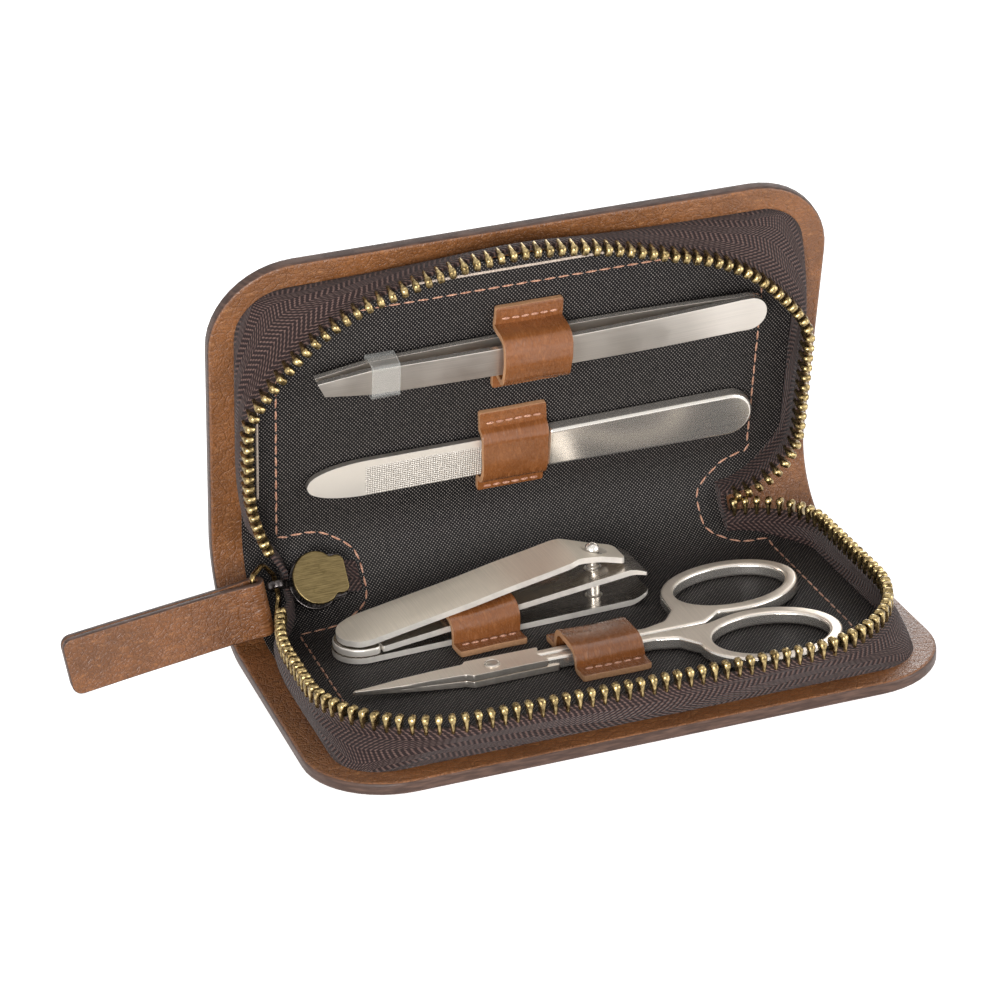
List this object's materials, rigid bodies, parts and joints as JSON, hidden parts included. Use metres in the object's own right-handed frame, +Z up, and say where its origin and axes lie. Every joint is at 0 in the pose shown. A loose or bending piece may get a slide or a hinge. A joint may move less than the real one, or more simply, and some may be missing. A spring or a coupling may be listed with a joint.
{
  "type": "zip-round manicure set case",
  "caption": "Open leather manicure case with a curved zip, its lid leaning back over a lined tray with looped scissors and clipper, tweezers and file in the lid",
  "frame": {"origin": "middle of the flat underside of the lower half", "axes": "+X along the hinge towards the scissors' finger rings, -Y towards the zip's front run, +Z up"},
  "size_m": [0.1583, 0.0787, 0.0811],
  "materials": {
    "leather_tan": "smooth cognac leather",
    "leather_loop": "tan strap leather",
    "board_grey": "stiff board",
    "lining_black": "black weave with grey flecks",
    "tape_brown": "dark brown herringbone tape",
    "brass_antique": "antique brass",
    "gunmetal": "dark plated",
    "steel_brushed": "brushed",
    "steel_polished": "polished",
    "clear_plastic": "clear"
  },
  "bodies": {
    "base": {"cover_lower": "leather_tan", "board_lower": "board_grey", "lining_lower": "lining_black", "gusset_lower": "tape_brown", "teeth_lower": "brass_antique", "top_stop_lower": "brass_antique", "loop_clipper": "leather_loop", "loop_scissors": "leather_loop", "cover_spine": "leather_tan", "lining_spine": "lining_black", "gusset_end_left": "tape_brown", "gusset_end_right": "tape_brown"},
    "lid": {"cover_upper": "leather_tan", "board_upper": "board_grey", "lining_upper": "lining_black", "gusset_upper": "tape_brown", "teeth_upper": "brass_antique", "top_stop_upper": "brass_antique", "loop_tweezers": "leather_loop", "loop_file": "leather_loop"},
    "zip_end": {"slider_inner_plate": "brass_antique", "slider_outer_plate": "gunmetal", "slider_post": "gunmetal", "slider_crown": "gunmetal", "tape_tail": "tape_brown", "bottom_stop": "brass_antique"},
    "link": {"pull_ring": "brass_antique"},
    "tab": {"pull_tab": "leather_tan"},
    "tweezers": {"tweezers_back": "steel_brushed"},
    "tweezers_arm": {"tweezers_front": "steel_brushed"},
    "guard": {"guard_band": "clear_plastic"},
    "file": {"nail_file": "steel_brushed", "file_handle": "steel_polished"},
    "clipper": {"jaw_lower": "steel_polished", "jaw_joint": "steel_polished"},
    "upper_jaw": {"jaw_upper": "steel_polished"},
    "pin": {"clipper_pin": "steel_polished"},
    "lever": {"clipper_lever": "steel_brushed"},
    "scissors": {"scissors_front": "steel_brushed", "scissors_rivet": "steel_polished"},
    "scissors_handle": {"scissors_back": "steel_brushed"}
  },
  "joints": [
    {"name": "lid_hinge", "type": "hinge", "parent": "base", "child": "lid", "pos_m": [0, 0.03895, 0.01125], "axis": [-1, 0, 0], "range_deg": [-75, 60], "deforming": ["cover_spine", "lining_spine", "gusset_end_left", "gusset_end_right"]},
    {"name": "slider_turn", "type": "hinge", "parent": "base", "child": "zip_end", "pos_m": [0, 0.03895, 0.01125], "axis": [-1, 0, 0], "range_deg": [-37.5, 30]},
    {"name": "ring_swing", "type": "hinge", "parent": "zip_end", "child": "link", "pos_m": [-0.05182, 0.03923, 0.01148], "axis": [-0.1271, 0, 0.9919], "range_deg": [-6, 4]},
    {"name": "tab_swing", "type": "hinge", "parent": "link", "child": "tab", "pos_m": [-0.05713, 0.03302, 0.0108], "axis": [-0.1271, 0, 0.9919], "range_deg": [-20, 20]},
    {"name": "tweezers_slide", "type": "slide", "parent": "lid", "child": "tweezers", "axis": [1, 0, 0], "range_m": [0, 0.004]},
    {"name": "tweezers_squeeze", "type": "hinge", "parent": "tweezers", "child": "tweezers_arm", "pos_m": [0.043, 0.03192, 0.0543], "axis": [0, -0.2588, 0.9659], "range_deg": [-0.45, 0], "stiffness_Nm_per_rad": 1},
    {"name": "guard_slide", "type": "slide", "parent": "tweezers", "child": "guard", "axis": [-1, 0, 0], "range_m": [0, 0.008]},
    {"name": "file_slide", "type": "slide", "parent": "lid", "child": "file", "axis": [1, 0, 0], "range_m": [0, 0.005]},
    {"name": "clipper_slide", "type": "slide", "parent": "base", "child": "clipper", "axis": [0.999, 0.0454, 0], "range_m": [-0.001, 0.001]},
    {"name": "jaw_flex", "type": "hinge", "parent": "clipper", "child": "upper_jaw", "pos_m": [-0.03781, 0.02142, 0.0056], "axis": [-0.0454, 0.999, 0], "range_deg": [0, 2.2], "stiffness_Nm_per_rad": 2},
    {"name": "pin_swivel", "type": "hinge", "parent": "clipper", "child": "pin", "pos_m": [0.00794, 0.0235, 0.008], "axis": [0, 0, 1], "range_deg": [0, 45]},
    {"name": "lever_lift", "type": "hinge", "parent": "pin", "child": "lever", "pos_m": [0.00794, 0.0235, 0.0142], "axis": [-0.0454, 0.999, 0], "range_deg": [0, 2.5]},
    {"name": "scissors_slide", "type": "slide", "parent": "base", "child": "scissors", "axis": [1, 0, 0], "range_m": [0, 0.004]},
    {"name": "scissors_pivot", "type": "hinge", "parent": "scissors", "child": "scissors_handle", "pos_m": [-0.0208, 0.00055, 0.005], "axis": [0, 0, 1], "range_deg": [0, 1.5]}
  ],
  "couplings": [
    {"joint": "slider_turn", "follows": "lid_hinge", "ratio": 0.5}
  ]
}
